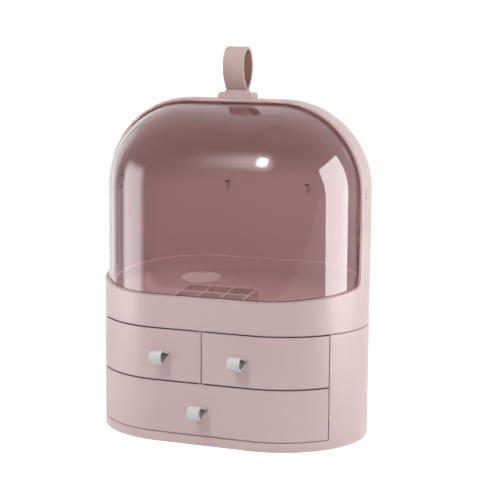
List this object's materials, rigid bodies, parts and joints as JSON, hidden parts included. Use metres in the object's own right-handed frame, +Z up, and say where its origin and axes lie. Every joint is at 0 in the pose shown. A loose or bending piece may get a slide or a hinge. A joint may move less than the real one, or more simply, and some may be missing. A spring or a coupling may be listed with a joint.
{
  "type": "dustproof makeup organizer",
  "caption": "Round-ended cosmetics case with drawers, a sloping deck under a clear cover that swings back inside a domed hood, and a carrying loop on top.",
  "frame": {"origin": "on the table, under the middle of the case", "axes": "+Z up, -Y the way the drawers open, X along the width and along the cover's hinge line"},
  "size_m": [0.29, 0.2095, 0.4066],
  "materials": {
    "rose_plastic": "matte dusty pink",
    "deep_rose_plastic": "satin dusty pink",
    "pale_plastic": "satin grey white",
    "clear_plastic": "clear, faintly tinted",
    "foot_rubber": "soft matte",
    "screw_steel": "zinc grey"
  },
  "bodies": {
    "case": {"base_pan": "rose_plastic", "cabinet_shell": "rose_plastic", "mid_shelf": "rose_plastic", "upper_divider": "rose_plastic", "top_panel": "rose_plastic", "anti_slip_feet": "foot_rubber", "base_screws": "screw_steel", "collar_screws": "screw_steel", "collar_and_hood": "rose_plastic", "deck_tray": "deep_rose_plastic", "lipstick_rack": "deep_rose_plastic", "oval_dish": "pale_plastic", "stop_pads": "foot_rubber", "pivot_pin_left": "rose_plastic", "pivot_pin_right": "rose_plastic", "pivot_clip_left": "rose_plastic", "pivot_clip_right": "rose_plastic", "handle_base": "rose_plastic", "handle_strap": "rose_plastic", "handle_screws": "screw_steel"},
    "cover": {"clear_cover": "clear_plastic"},
    "drawer_left": {"bin_left": "rose_plastic", "front_left": "rose_plastic", "pull_left": "pale_plastic", "front_screws_left": "screw_steel"},
    "drawer_right": {"bin_right": "rose_plastic", "front_right": "rose_plastic", "pull_right": "pale_plastic", "front_screws_right": "screw_steel"},
    "drawer_bottom": {"bin_bottom": "rose_plastic", "front_bottom": "rose_plastic", "pull_bottom": "pale_plastic", "front_screws_bottom": "screw_steel"}
  },
  "joints": [
    {"name": "cover_flip", "type": "hinge", "parent": "case", "child": "cover", "pos_m": [0, 0, 0.259], "axis": [-1, 0, 0], "range_deg": [0, 90]},
    {"name": "left_drawer_slide", "type": "slide", "parent": "case", "child": "drawer_left", "axis": [0, -1, 0], "range_m": [0, 0.11]},
    {"name": "right_drawer_slide", "type": "slide", "parent": "case", "child": "drawer_right", "axis": [0, -1, 0], "range_m": [0, 0.11]},
    {"name": "bottom_drawer_slide", "type": "slide", "parent": "case", "child": "drawer_bottom", "axis": [0, -1, 0], "range_m": [0, 0.11]}
  ]
}
